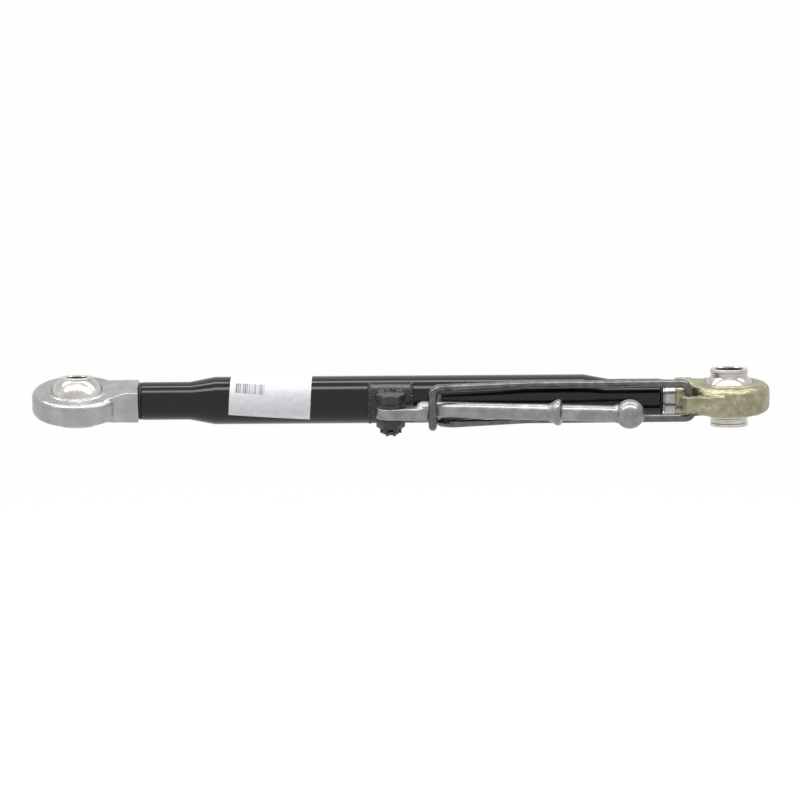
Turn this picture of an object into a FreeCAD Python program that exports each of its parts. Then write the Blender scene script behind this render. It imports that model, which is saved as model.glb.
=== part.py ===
import FreeCAD, Part
import math
import os
import re
import Sketcher

# Adjustable tractor top link with a folding turning lever and a wire lock.
# Frame: origin at the centre of the left ball's bore, +X along the link to the
# right eye, +Z up along both ball bores, -Y the side that carries the lever.

Vector = FreeCAD.Vector
X_AXIS = Vector(1, 0, 0)
Y_AXIS = Vector(0, 1, 0)
Z_AXIS = Vector(0, 0, 1)

doc = FreeCAD.newDocument("top_link")

# ---------------------------------------------------------------- sizes (mm, degrees)
SIZES = [
    ("running_gap", 0.1, "between flat faces that move past each other"),
    ("fit_gap", 0.05, "radial, between a shaft and its hole"),
    # barrel
    ("tube_od", 42.4, "barrel tube, outside"),
    ("tube_wall", 4.5, "barrel tube, wall"),
    ("swage_depth", 4.3, "how far both ends of the barrel are swaged in"),
    ("barrel_length", 461, "barrel, mouth to mouth"),
    ("left_mouth_length", 43, "left swaged end, up to its taper"),
    ("right_mouth_length", 46, "right swaged end, up to its taper"),
    ("taper_length", 22, "each taper of the barrel"),
    ("taper_round", 14, "blend radius at both ends of each taper"),
    ("mouth_chamfer", 1, "chamfer of each mouth"),
    # screws and their seals
    ("thread_dia", 27, "both screws, over the thread"),
    ("screw_depth", 190, "each screw inside the barrel"),
    ("screw_chamfer", 2, "inner end of each screw"),
    ("seal_thickness", 2.1, "each dust seal"),
    ("seal_wall", 3, "each dust seal, across its ring"),
    ("neck_dia", 28.5, "plain neck of the right screw"),
    ("neck_length", 9.4, "plain neck of the right screw"),
    ("right_gap", 13.1, "barrel to the right eye's weld collar, screwed nearly right in"),
    # left eye
    ("left_ring_radius", 40, "outside of the left eye"),
    ("left_ring_thickness", 21, "left eye, face to face"),
    ("left_shoulder", 55.2, "left ball centre to the flat end of the eye"),
    ("left_block_length", 11.3, "square shoulder of the left eye"),
    ("left_block_width", 34, "square shoulder, front to back"),
    ("left_block_height", 28, "square shoulder, top to bottom"),
    ("left_ring_round", 5, "outer edges of the left eye"),
    ("left_roll_angle", 14, "left eye turned about X from its ball"),
    # right eye
    ("right_ring_radius", 36, "outside of the right eye"),
    ("right_ring_thickness", 26, "right eye, face to face"),
    ("right_shoulder", 48.4, "right ball centre to the weld collar's end"),
    ("collar_dia", 35, "upset weld collar of the right eye"),
    ("collar_length", 15.2, "upset weld collar of the right eye"),
    ("right_block_width", 36, "right eye beside its collar, front to back"),
    ("right_block_height", 28, "right eye beside its collar, top to bottom"),
    ("right_ring_round", 7, "outer edges of the right eye"),
    ("right_roll_angle", 4, "right eye turned about X from its ball"),
    ("lip_width", 3.2, "swaged lip round each ball race"),
    ("lip_height", 1.2, "swaged lip round each ball race"),
    ("horn_reach", 44, "right ball centre to the tip of each lock horn"),
    ("horn_inner", 28, "link axis to the inner face of a horn"),
    ("horn_thickness", 10, "lock horn, across"),
    ("horn_height", 14.4, "lock horn, top to bottom"),
    ("horn_round", 4.5, "round of the horn's tip"),
    ("horn_lead", 1.8, "bevel inside the horn's tip"),
    ("horn_root", 3.6, "right ball centre to the end of the horn inside the ring"),
    ("horn_root_inner", 16.2, "right ball centre to the start of the horn's inner face"),
    ("horn_root_outer", 14.4, "right ball centre to the start of the horn's outer face"),
    ("horn_root_low", 25.2, "link axis to the inner corner of the horn's root"),
    ("horn_root_high", 35.3, "link axis to the outer corner of the horn's root"),
    ("neck_root_ratio", 0.4, "share of the ring's radius where each neck starts"),
    ("neck_spread_ratio", 0.72, "share of the ring's radius, half width of the neck there"),
    ("neck_bevel_ratio", 0.3, "share of the ring's round that the neck's root stays below"),
    # balls
    ("ball_radius", 25, "both balls"),
    ("left_ball_width", 44, "category 1 ball, face to face"),
    ("left_ball_collar", 15.5, "radius of the left ball's flat faces"),
    ("left_bore", 19.4, "category 1 pin bore"),
    ("right_ball_width", 51, "category 2 ball, face to face"),
    ("right_ball_collar", 17, "radius of the right ball's flat faces"),
    ("right_bore", 25.7, "category 2 pin bore"),
    ("bore_chamfer", 0.8, "both ends of each pin bore"),
    # lever pivot on the barrel
    ("pivot_x", 279, "left ball centre to the pivot bolt"),
    ("pivot_stand", 16.8, "barrel's surface to the pivot bolt's axis"),
    ("lever_roll_angle", 5, "lever and pivot turned about X"),
    ("saddle_length", 36, "saddle plate along the barrel"),
    ("saddle_wall", 2.5, "saddle plate"),
    ("saddle_angle", 98, "angle that the saddle plate wraps"),
    ("bead_radius", 2.2, "fillet weld along the saddle's ends"),
    ("head_bead_radius", 5.4, "weld that joins the bolt head to the saddle"),
    ("head_bead_length", 27, "weld that joins the bolt head to the saddle"),
    ("head_bead_shift_ratio", 0.62, "share of its radius that the weld stands off the head"),
    ("head_bead_level_ratio", 0.62, "share of the head's height where the weld lies"),
    ("bolt_dia", 14, "pivot bolt"),
    ("hex_flats", 22, "bolt head and nut, across flats"),
    ("head_height", 8.8, "bolt head"),
    ("corner_cut_ratio", 0.97, "share of the flats left round at the ends of head and nut"),
    ("corner_slope", 1.7, "rise of the cone that takes off the hexagon's corners"),
    ("washer_od", 26, "washer under the bolt head"),
    ("washer_thickness", 2.2, "washer under the bolt head"),
    ("nut_height", 8.2, "hexagon part of the castle nut"),
    ("crown_height", 4.3, "slotted crown of the castle nut"),
    ("crown_dia", 19, "slotted crown of the castle nut"),
    ("slot_width", 3.8, "slots of the crown"),
    ("bolt_tail", 1.4, "bolt end beyond the crown"),
    ("bolt_chamfer", 1.2, "end of the bolt"),
    ("pin_dia", 2.8, "split pin"),
    ("pin_head", 3.6, "radius of the split pin's eye"),
    ("pin_level_ratio", 0.55, "share of the crown's height where the split pin sits"),
    ("pin_leg_ratio", 0.4, "share of the crown's height that a bent leg covers"),
    # lever
    ("lever_angle", 7.8, "lever stands out from the barrel when folded"),
    ("eye_radius", 13.4, "flat eye of the lever"),
    ("flat_thickness", 11, "flat of the lever"),
    ("flat_drop", 3.4, "middle of the flat below the bar's axis"),
    ("flat_length", 36, "pivot to the end of the flat"),
    ("flat_round", 1.6, "edges of the flat"),
    ("bar_dia", 14.6, "round bar of the lever"),
    ("knob_distance", 212, "pivot to the middle of the ball knob"),
    ("knob_radius", 13, "ball knob"),
    ("spigot_dia", 9, "end of the bar inside the knob"),
    ("spigot_length", 16, "end of the bar inside the knob"),
    ("stop_distance", 140, "pivot to the near end of the stop collar"),
    ("stop_length", 13, "stop collar"),
    ("stop_radius", 11.6, "stop collar, largest"),
    # wire lock
    ("wire_dia", 7.6, "wire of the lock"),
    ("wire_gap", 30.4, "between the two legs' middles"),
    ("hold_depth", 8.5, "U-end behind the tip of the horn"),
    ("wire_skew", 5, "lower corner of the U-end beyond the upper one"),
    ("leg_stand", 4.3, "legs to the barrel's surface beside the lever"),
    ("knee_distance", 121, "pivot to where the legs turn out"),
    ("hook_distance", 37, "pivot to the front hook"),
    ("hook_front", 13.2, "front hook in front of the bar's axis"),
    ("hook_back", 17.3, "rear hook behind the bar's axis"),
    ("hook_drop", 18, "lower end of the front hook"),
    ("hook_return", 10, "end of the front hook, turned back"),
    ("hook_stagger", 5, "rear hook beyond the front one"),
    ("hook_rise", 8, "end of the rear hook above the link axis"),
    ("leg_turn", 16, "front hook to where each leg turns along the bar"),
    ("leg_bulge", 8, "legs out of line with the hook there"),
    ("wire_bend", 2.4, "inside radius of each bend"),
    ("wire_uneven", 1, "unevenness of the bent hooks"),
    # label
    ("label_start", 135, "left ball centre to the label"),
    ("label_length", 73, "label along the barrel"),
    ("label_thickness", 0.2, "label"),
    ("label_bottom_angle", 38, "label's lower edge below the front"),
    ("label_angle", 140, "angle that the label wraps"),
]

sheet = doc.addObject("Spreadsheet::Sheet", "sizes")
for row, (alias, number, note) in enumerate(SIZES, start=1):
    sheet.set("A%d" % row, alias)
    sheet.set("B%d" % row, str(number))
    sheet.set("C%d" % row, note)
    sheet.setAlias("B%d" % row, alias)
doc.recompute()
ALIASES = {alias for alias, number, note in SIZES}


def formula(text):
    """A formula written with bare size names, as an expression on the sheet."""
    words = r"\b[a-z][a-z_]*[a-z]\b"
    return re.sub(words, lambda m: "sizes." + m[0] if m[0] in ALIASES else m[0], str(text))


def value(text):
    """What a formula comes to, as a number."""
    result = sheet.evalExpression(formula(text).replace("sizes.", ""))
    return float(getattr(result, "Value", result))


def bind(thing, **sizes):
    """Ties properties of an object to formulas; x, y and z are its place."""
    places = {"x": "Placement.Base.x", "y": "Placement.Base.y", "z": "Placement.Base.z"}
    for prop, text in sizes.items():
        thing.setExpression(places.get(prop, prop), formula(text))
    return thing


# ---------------------------------------------------------------- primitives and booleans
def primitive(kind, name, turn=None, **sizes):
    """A Part primitive, turned by (axis, degrees), with its sizes tied to the sheet."""
    thing = doc.addObject("Part::" + kind, name)
    if turn:
        thing.Placement = FreeCAD.Placement(Vector(), FreeCAD.Rotation(*turn))
    return bind(thing, **sizes)


ALONG_X = (Y_AXIS, 90)


def cut(name, base, tool):
    thing = doc.addObject("Part::Cut", name)
    thing.Base = base
    thing.Tool = tool
    return thing


def fuse(name, *pieces):
    thing = doc.addObject("Part::MultiFuse", name)
    thing.Shapes = list(pieces)
    thing.Refine = True
    return thing


def common(name, *pieces):
    thing = doc.addObject("Part::MultiCommon", name)
    thing.Shapes = list(pieces)
    return thing


def rounded(name, base, radius, chosen):
    """Fillets the edges of base that chosen(edge) picks."""
    doc.recompute()
    thing = doc.addObject("Part::Fillet", name)
    thing.Base = base
    size = value(radius)
    edges = enumerate(base.Shape.Edges, start=1)
    thing.Edges = [(number, size, size) for number, edge in edges if chosen(edge)]
    return thing


def slice_turn(start):
    """Lays a slice's axis along X; start is counted from +Y over the top to -Y."""
    upright = FreeCAD.Rotation(Vector(1, 1, 1), 120)
    return FreeCAD.Rotation(X_AXIS, value(start)).multiply(upright)


def sector(name, radius, length, spread, at, start):
    """A slice of a cylinder along X, from x = at, that begins at the angle start."""
    thing = primitive("Cylinder", name, Radius=radius, Height=length, Angle=spread)
    thing.Placement = FreeCAD.Placement(Vector(), slice_turn(start))
    return bind(thing, x=at)


# ---------------------------------------------------------------- bodies with sketches
def new_body(name):
    return doc.addObject("PartDesign::Body", name)


def origin_plane(body, role):
    return next(f for f in body.Origin.OriginFeatures if f.Role == role)


def new_sketch(body, name, role, shift=None):
    """A sketch on one of the body's origin planes, shifted along its normal."""
    sketch = body.newObject("Sketcher::SketchObject", name)
    sketch.AttachmentSupport = (origin_plane(body, role), [""])
    sketch.MapMode = "FlatFace"
    if shift is not None:
        sketch.setExpression("AttachmentOffset.Base.z", formula(shift))
    return sketch


def polygon(body, name, role, corners, shift=None):
    """A closed outline whose corners are pairs of formulas."""
    sketch = new_sketch(body, name, role, shift)
    spots = [(value(across), value(up)) for across, up in corners]
    count = len(corners)
    for index, (across, up) in enumerate(spots):
        after = spots[(index + 1) % count]
        sketch.addGeometry(Part.LineSegment(Vector(across, up, 0), Vector(after[0], after[1], 0)))
    for index in range(count):
        sketch.addConstraint(Sketcher.Constraint("Coincident", index, 2, (index + 1) % count, 1))
    for index, spot in enumerate(spots):
        for kind, text, number in zip(("DistanceX", "DistanceY"), corners[index], spot):
            made = sketch.addConstraint(Sketcher.Constraint(kind, -1, 1, index, 1, number))
            sketch.setExpression("Constraints[%d]" % made, formula(text))
    return sketch


def circles(body, name, role, middle, radii, shift=None):
    """Concentric circles; two of them enclose a ring."""
    sketch = new_sketch(body, name, role, shift)
    spot = (value(middle[0]), value(middle[1]))
    for index, radius in enumerate(radii):
        sketch.addGeometry(Part.Circle(Vector(spot[0], spot[1], 0), Z_AXIS, value(radius)))
        made = sketch.addConstraint(Sketcher.Constraint("Radius", index, value(radius)))
        sketch.setExpression("Constraints[%d]" % made, formula(radius))
        for kind, text, number in zip(("DistanceX", "DistanceY"), middle, spot):
            made = sketch.addConstraint(Sketcher.Constraint(kind, -1, 1, index, 3, number))
            sketch.setExpression("Constraints[%d]" % made, formula(text))
    return sketch


def pad(body, name, sketch, length, both_ways=False, backwards=False):
    feature = body.newObject("PartDesign::Pad", name)
    feature.Profile = sketch
    feature.setExpression("Length", formula(length))
    feature.Midplane = both_ways
    feature.Reversed = backwards
    return feature


def pocket(body, name, sketch, length, both_ways=False, backwards=False):
    feature = body.newObject("PartDesign::Pocket", name)
    feature.Profile = sketch
    feature.setExpression("Length", formula(length))
    feature.Midplane = both_ways
    feature.Reversed = backwards
    return feature


def revolve(body, name, sketch, axis="H_Axis"):
    feature = body.newObject("PartDesign::Revolution", name)
    feature.Profile = sketch
    feature.ReferenceAxis = (sketch, [axis])
    feature.Angle = 360
    return feature


def hexagon(middle_y):
    """Corners of a hexagon over hex_flats round (0, middle_y), with flats facing Y."""
    corners = []
    for index in range(6):
        across = "hex_flats / sqrt(3) * cos(%d)" % (60 * index)
        up = "%s + hex_flats / sqrt(3) * sin(%d)" % (middle_y, 60 * index)
        corners.append((across, up))
    return corners


# ---------------------------------------------------------------- places
BARREL_START = "(left_shoulder + seal_thickness + 2 * running_gap)"
BARREL_END = "(%s + barrel_length)" % BARREL_START
BALL_PITCH = "(%s + right_gap + right_shoulder)" % BARREL_END
MOUTH_RADIUS = "(tube_od / 2 - swage_depth)"
PIVOT_OFFSET = "(tube_od / 2 + pivot_stand)"


def rolled(angle, base=Vector()):
    """A placement turned about X through the link's axis, then moved to base."""
    return FreeCAD.Placement(base, FreeCAD.Rotation(X_AXIS, value(angle)))


def pivot_place():
    """Where the pivot bolt's axis crosses the lever's middle plane."""
    to_pivot = FreeCAD.Placement(
        Vector(value("pivot_x"), -value(PIVOT_OFFSET), 0), FreeCAD.Rotation()
    )
    return rolled("lever_roll_angle").multiply(to_pivot)


def lever_place():
    """The pivot's frame with X along the folded lever."""
    outwards = FreeCAD.Placement(Vector(), FreeCAD.Rotation(Z_AXIS, -value("lever_angle")))
    return pivot_place().multiply(outwards)


made_parts = []


def part(thing, name, place=None):
    """Registers a finished sub-part under its name."""
    thing.Label = name
    if place is not None:
        thing.Placement = place
    made_parts.append(thing)


# ---------------------------------------------------------------- barrel
def make_barrel():
    """Tube swaged down at both ends, where it is threaded inside."""
    body = new_body("BarrelBody")
    start, end = BARREL_START, BARREL_END
    left_taper = start + " + left_mouth_length"
    right_taper = end + " - right_mouth_length"
    mouth = MOUTH_RADIUS
    bore = "thread_dia / 2 + fit_gap"
    outline = [
        (start, mouth + " - mouth_chamfer"),
        (start + " + mouth_chamfer", mouth),
        (left_taper, mouth),
        (left_taper + " + taper_length", "tube_od / 2"),
        (right_taper + " - taper_length", "tube_od / 2"),
        (right_taper, mouth),
        (end + " - mouth_chamfer", mouth),
        (end, mouth + " - mouth_chamfer"),
        (end, bore),
        (right_taper, bore),
        (right_taper + " - taper_length", "tube_od / 2 - tube_wall"),
        (left_taper + " + taper_length", "tube_od / 2 - tube_wall"),
        (left_taper, bore),
        (start, bore),
    ]
    wall = revolve(body, "BarrelWall", polygon(body, "BarrelSection", "XZ_Plane", outline))
    doc.recompute()
    radii = (value(MOUTH_RADIUS), value("tube_od / 2"))
    ends = (value(start) + 2 * value("mouth_chamfer"), value(end) - 2 * value("mouth_chamfer"))
    edges = []
    for number, edge in enumerate(body.Shape.Edges, start=1):
        if not isinstance(edge.Curve, Part.Circle):
            continue
        outside = min(abs(edge.Curve.Radius - radius) for radius in radii) < 1e-6
        if outside and ends[0] < edge.Curve.Center.x < ends[1]:
            edges.append("Edge%d" % number)
    blend = body.newObject("PartDesign::Fillet", "TaperBlend")
    blend.Base = (wall, edges)
    blend.setExpression("Radius", formula("taper_round"))
    part(body, "barrel")


def make_label():
    """Paper label stuck round the front and top of the barrel."""
    paper = sector(
        "LabelOuter", "tube_od / 2 + label_thickness", "label_length", "label_angle",
        "label_start", "180 + label_bottom_angle - label_angle"
    )
    inside = primitive(
        "Cylinder", "LabelInner", turn=ALONG_X, Radius="tube_od / 2", Height="label_length",
        x="label_start"
    )
    part(cut("Label", paper, inside), "label")


# ---------------------------------------------------------------- screws and seals
def ring_body(name, radii, start, thickness, role="YZ_Plane", middle=("0", "0")):
    """A flat ring, padded from start along the plane's normal."""
    body = new_body(name + "Body")
    sketch = circles(body, name + "Rings", role, middle, radii, start)
    pad(body, name + "Pad", sketch, thickness)
    return body


def make_seals():
    """Rubber wipers between each mouth of the barrel and the screw."""
    radii = ("thread_dia / 2 + seal_wall", "thread_dia / 2 + fit_gap")
    left = ring_body("LeftSeal", radii, "left_shoulder + running_gap", "seal_thickness")
    part(left, "left_dust_seal")
    right = ring_body("RightSeal", radii, BARREL_END + " + running_gap", "seal_thickness")
    part(right, "right_dust_seal")


def make_screws():
    """Screws, round over their threads; the right one has a plain neck."""
    inner_end = BARREL_START + " + screw_depth"
    left = new_body("LeftScrewBody")
    outline = [
        ("left_shoulder", "0"),
        (inner_end, "0"),
        (inner_end, "thread_dia / 2 - screw_chamfer"),
        (inner_end + " - screw_chamfer", "thread_dia / 2"),
        ("left_shoulder", "thread_dia / 2"),
    ]
    revolve(left, "LeftScrew", polygon(left, "LeftScrewSection", "XZ_Plane", outline))
    part(left, "left_screw")

    inner_end = BARREL_END + " - screw_depth"
    neck_end = "(%s + right_gap)" % BARREL_END
    right = new_body("RightScrewBody")
    outline = [
        (inner_end, "0"),
        (neck_end, "0"),
        (neck_end, "neck_dia / 2"),
        (neck_end + " - neck_length", "neck_dia / 2"),
        (neck_end + " - neck_length", "thread_dia / 2"),
        (inner_end + " + screw_chamfer", "thread_dia / 2"),
        (inner_end, "thread_dia / 2 - screw_chamfer"),
    ]
    revolve(right, "RightScrew", polygon(right, "RightScrewSection", "XZ_Plane", outline))
    part(right, "right_screw")


# ---------------------------------------------------------------- eyes and balls
def eye_ring(side):
    """Ring of an eye with its outer edges rounded and a swaged lip round the race."""
    radius = side + "_ring_radius"
    thickness = side + "_ring_thickness"
    disc = primitive(
        "Cylinder", side + "_disc", Radius=radius, Height=thickness, z="-%s / 2" % thickness
    )
    size = value(radius)

    def outer(edge):
        return isinstance(edge.Curve, Part.Circle) and abs(edge.Curve.Radius - size) < 1e-6

    blank = rounded(side + "_blank", disc, side + "_ring_round", outer)
    race_at_face = "sqrt(ball_radius * ball_radius - %s * %s / 4)" % (thickness, thickness)
    lip = primitive(
        "Cone", side + "_lip",
        Radius1=race_at_face + " + lip_width + lip_height",
        Radius2=race_at_face + " + lip_width",
        Height="lip_height", z=thickness + " / 2"
    )
    lower = primitive(
        "Cone", side + "_lower_lip",
        Radius1=race_at_face + " + lip_width",
        Radius2=race_at_face + " + lip_width + lip_height",
        Height="lip_height", z="-%s / 2 - lip_height" % thickness
    )
    return [blank, lip, lower]


def cut_race(name, solid):
    """Cuts the ball race into an eye."""
    race = primitive("Sphere", name + "Race", Radius="ball_radius + fit_gap")
    return cut(name, solid, race)


def neck_loft(name, reach, width, height, side, direction):
    """Neck of an eye: a loft from inside the ring to its shoulder block."""
    body = new_body(name + "Body")
    inside = side + "_ring_radius * neck_root_ratio"
    spread = side + "_ring_radius * neck_spread_ratio"
    flat = side + "_ring_thickness / 2 - %s_ring_round * neck_bevel_ratio" % side
    outlines = []
    sections = ((inside, spread, flat), (reach, width + " / 2", height + " / 2"))
    for index, (shift, across, up) in enumerate(sections):
        corners = [
            ("-(%s)" % across, "-(%s)" % up),
            ("(%s)" % across, "-(%s)" % up),
            ("(%s)" % across, "(%s)" % up),
            ("-(%s)" % across, "(%s)" % up),
        ]
        plane_shift = "%s(%s)" % ("-" if direction < 0 else "", shift)
        sketch = polygon(body, "%sSection%d" % (name, index), "YZ_Plane", corners, plane_shift)
        outlines.append(sketch)
    loft = body.newObject("PartDesign::AdditiveLoft", name + "Loft")
    loft.Profile = outlines[0]
    loft.Sections = [outlines[1]]
    loft.Ruled = True
    return body


def make_left_eye():
    """Forged eye with a square shoulder that carries the left screw."""
    block_start = "left_shoulder - left_block_length"
    neck = neck_loft(
        "LeftNeck", block_start, "left_block_width", "left_block_height", "left", 1
    )
    block = primitive(
        "Box", "LeftBlock", Length="left_block_length", Width="left_block_width",
        Height="left_block_height", x=block_start, y="-left_block_width / 2",
        z="-left_block_height / 2"
    )
    solid = fuse("LeftForging", *eye_ring("left"), neck, block)
    part(cut_race("LeftEye", solid), "left_eye", rolled("left_roll_angle"))


def make_horn(name, mirror):
    """Lock horn: a bar tangent to the ring with a rounded tip."""
    body = new_body(name + "Body")
    sign = "" if mirror else "-"
    outer = "(horn_inner + horn_thickness)"
    corners = [
        ("-horn_reach", "%s(horn_inner + horn_lead)" % sign),
        ("-horn_reach + horn_lead", "%s(horn_inner)" % sign),
        ("-horn_root_inner", "%s(horn_inner)" % sign),
        ("-horn_root", "%s(horn_root_low)" % sign),
        ("-horn_root", "%s(horn_root_high)" % sign),
        ("-horn_root_outer", "%s%s" % (sign, outer)),
        ("-horn_reach + horn_round", "%s%s" % (sign, outer)),
        ("-horn_reach", "%s(%s - horn_round)" % (sign, outer)),
    ]
    outline = polygon(body, name + "Outline", "XY_Plane", corners)
    pad(body, name + "Pad", outline, "horn_height", both_ways=True)
    return body


def make_right_eye():
    """Forged eye with the weld collar of its screw and two lock horns."""
    collar_inner = "right_shoulder - collar_length"
    neck = neck_loft(
        "RightNeck", collar_inner, "right_block_width", "right_block_height", "right", -1
    )
    collar = primitive(
        "Cylinder", "WeldCollar", turn=ALONG_X, Radius="collar_dia / 2",
        Height="collar_length", x="-right_shoulder"
    )
    horns = [make_horn("FrontHorn", False), make_horn("RearHorn", True)]
    solid = fuse("RightForging", *eye_ring("right"), neck, collar, *horns)
    place = rolled("right_roll_angle", Vector(value(BALL_PITCH), 0, 0))
    part(cut_race("RightEye", solid), "right_eye", place)


def make_ball(side, place):
    """Ball with flat-faced collars and a pin bore along Z."""
    width = side + "_ball_width"
    collar = side + "_ball_collar"
    level = "acos(%s / ball_radius)" % collar
    zone = primitive(
        "Sphere", side + "_zone", Radius="ball_radius", Angle1="-" + level, Angle2=level
    )
    boss = primitive(
        "Cylinder", side + "_boss", Radius=collar, Height=width, z="-%s / 2" % width
    )
    solid = fuse(side + "_ball_solid", zone, boss)
    bore = primitive(
        "Cylinder", side + "_pin_bore", Radius=side + "_bore / 2", Height=width,
        z="-%s / 2" % width
    )
    flares = []
    for name, below in (("_lower_flare", True), ("_upper_flare", False)):
        small = "(%s_bore / 2)" % side
        large = "(%s_bore / 2 + bore_chamfer)" % side
        flare = primitive(
            "Cone", side + name, Radius1=large if below else small,
            Radius2=small if below else large, Height="bore_chamfer",
            z="-%s / 2" % width if below else "%s / 2 - bore_chamfer" % width
        )
        flares.append(flare)
    hole = fuse(side + "_hole", bore, *flares)
    part(cut(side + "_ball_cut", solid, hole), side + "_ball", place)


# ---------------------------------------------------------------- lever pivot
FLAT_TOP = "(flat_thickness / 2 - flat_drop)"
FLAT_BOTTOM = "(-flat_thickness / 2 - flat_drop)"
HEAD_BOTTOM = "(%s + 2 * running_gap + washer_thickness)" % FLAT_TOP
NUT_TOP = "(%s - running_gap)" % FLAT_BOTTOM
CROWN_TOP = "(%s - nut_height)" % NUT_TOP
CORNER_RADIUS = "(hex_flats / 2 * corner_cut_ratio)"
CROWN_END = "(%s - crown_height)" % CROWN_TOP
BOLT_END = "(%s - bolt_tail)" % CROWN_END
PIN_LEVEL = "(%s - crown_height * pin_level_ratio)" % CROWN_TOP
PIN_TURN = 240  # degrees; every 60 lines up with a slot of the crown
SADDLE_RADIUS = "(tube_od / 2 + saddle_wall)"
SADDLE_START = "180 - saddle_angle / 2"


def make_saddle():
    """Curved plate welded on the barrel."""
    start = "pivot_x - saddle_length / 2"
    plate = sector(
        "SaddleOuter", SADDLE_RADIUS, "saddle_length", "saddle_angle", start, SADDLE_START
    )
    tube = primitive(
        "Cylinder", "SaddleInner", turn=ALONG_X, Radius="tube_od / 2",
        Height="saddle_length", x=start
    )
    part(cut("Saddle", plate, tube), "pivot_saddle", rolled("lever_roll_angle"))


def make_saddle_welds():
    """Quarter-round weld beads along both ends of the saddle."""
    beads = []
    for name, place in (("LeftBead", "-1"), ("RightBead", "1")):
        middle = "pivot_x + %s * saddle_length / 2" % place
        ring = primitive(
            "Torus", name, Radius1="tube_od / 2", Radius2="bead_radius", Angle3="saddle_angle"
        )
        ring.Placement = FreeCAD.Placement(Vector(), slice_turn(SADDLE_START))
        beads.append(bind(ring, x=middle))
    both = fuse("Beads", *beads)
    tube = primitive(
        "Cylinder", "BeadTube", turn=ALONG_X, Radius="tube_od / 2",
        Height="saddle_length * 2", x="pivot_x - saddle_length"
    )
    plate = primitive(
        "Cylinder", "BeadPlate", turn=ALONG_X, Radius="tube_od", Height="saddle_length",
        x="pivot_x - saddle_length / 2"
    )
    keep_out = fuse("BeadKeepOut", tube, plate)
    part(cut("SaddleWelds", both, keep_out), "saddle_welds", rolled("lever_roll_angle"))


def make_head_weld():
    """Heavy weld between the saddle and the back of the bolt head."""
    height = "(%s + head_height * head_bead_level_ratio)" % HEAD_BOTTOM
    back = "(-%s + hex_flats / 2)" % PIVOT_OFFSET
    bead = primitive(
        "Cylinder", "HeadBead", turn=ALONG_X, Radius="head_bead_radius",
        Height="head_bead_length", x="pivot_x - head_bead_length / 2",
        y=back + " + head_bead_radius * head_bead_shift_ratio", z=height
    )
    plate = primitive(
        "Cylinder", "WeldPlate", turn=ALONG_X, Radius=SADDLE_RADIUS,
        Height="head_bead_length * 2", x="pivot_x - head_bead_length"
    )
    head = primitive(
        "Box", "WeldHead", Length="head_bead_length * 2", Width="hex_flats",
        Height="head_height * 4", x="pivot_x - head_bead_length", y=back + " - hex_flats",
        z="%s - head_height * 2" % HEAD_BOTTOM
    )
    keep_out = fuse("WeldKeepOut", plate, head)
    part(cut("HeadWeld", bead, keep_out), "head_weld", rolled("lever_roll_angle"))


def make_bolt():
    """Hexagon bolt, head up, with a cross hole for the split pin."""
    body = new_body("BoltBody")
    head = polygon(body, "HeadOutline", "XY_Plane", hexagon("0"), HEAD_BOTTOM)
    pad(body, "Head", head, "head_height")
    shank = circles(body, "ShankCircle", "XY_Plane", ("0", "0"), ["bolt_dia / 2"], HEAD_BOTTOM)
    pad(body, "Shank", shank, "%s - %s" % (HEAD_BOTTOM, BOLT_END), backwards=True)
    # cones take the corners off the head and the end of the thread
    crown = primitive(
        "Cone", "HeadCrown", Radius1=CORNER_RADIUS + " + head_height * corner_slope",
        Radius2=CORNER_RADIUS, Height="head_height", z=HEAD_BOTTOM
    )
    tip = primitive(
        "Cone", "BoltTip", Radius1="bolt_dia / 2 - bolt_chamfer",
        Radius2="hex_flats * 4 - bolt_chamfer",
        Height="hex_flats * 4 - bolt_dia / 2", z=BOLT_END
    )
    shape = common("BoltShape", body, fuse("BoltEnvelope", crown, crown_filler("Bolt")), tip)
    hole = primitive(
        "Cylinder", "PinHole", Radius="pin_dia / 2 + fit_gap", Height="bolt_dia * 2"
    )
    along = FreeCAD.Rotation(Z_AXIS, PIN_TURN).multiply(FreeCAD.Rotation(X_AXIS, 90))
    hole.Placement = FreeCAD.Placement(Vector(), along)
    bind(
        hole, x="-bolt_dia * sin(%d)" % PIN_TURN, y="bolt_dia * cos(%d)" % PIN_TURN, z=PIN_LEVEL
    )
    part(cut("Bolt", shape, hole), "pivot_bolt", pivot_place())


def crown_filler(name):
    """Keeps all that lies below the head when its corners are taken off."""
    return primitive(
        "Cylinder", name + "Below", Radius="hex_flats", Height="%s - %s" % (HEAD_BOTTOM, BOLT_END),
        z=BOLT_END
    )


def make_washer():
    """Plain washer between the bolt head and the lever."""
    radii = ("washer_od / 2", "bolt_dia / 2 + fit_gap")
    start = FLAT_TOP + " + running_gap"
    washer = ring_body("Washer", radii, start, "washer_thickness", "XY_Plane")
    part(washer, "upper_washer", pivot_place())


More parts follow.
